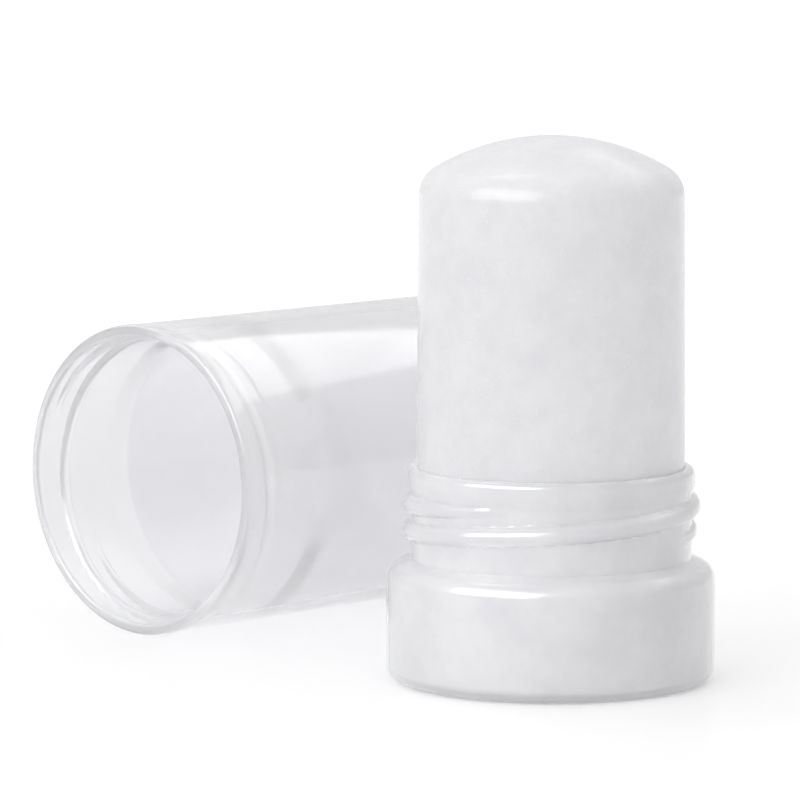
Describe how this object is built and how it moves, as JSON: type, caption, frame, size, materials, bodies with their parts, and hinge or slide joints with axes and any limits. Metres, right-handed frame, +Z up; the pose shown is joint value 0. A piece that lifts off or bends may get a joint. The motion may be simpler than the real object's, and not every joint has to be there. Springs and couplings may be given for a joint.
{
  "type": "mineral deodorant stick",
  "caption": "Domed alum crystal cast into a threaded translucent plastic base, with its clear screw cap lying beside it, mouth forward.",
  "frame": {"origin": "middle of the base's underside, on the stick's axis", "axes": "+Z up along the stick's axis, +Y along the lying cap's axis from its mouth to its closed end, cap on the -X side of the base"},
  "size_m": [0.113, 0.0787, 0.0745],
  "materials": {
    "frosted_plastic": "milky natural polypropylene, smooth and softly glossy",
    "alum": "translucent cast mineral, cloudy inside with a smooth polished skin",
    "clear_plastic": "nearly clear polypropylene, smooth and glossy"
  },
  "bodies": {
    "root": {"base_cup": "frosted_plastic", "crystal": "alum", "screw_cap": "clear_plastic"}
  },
  "joints": []
}
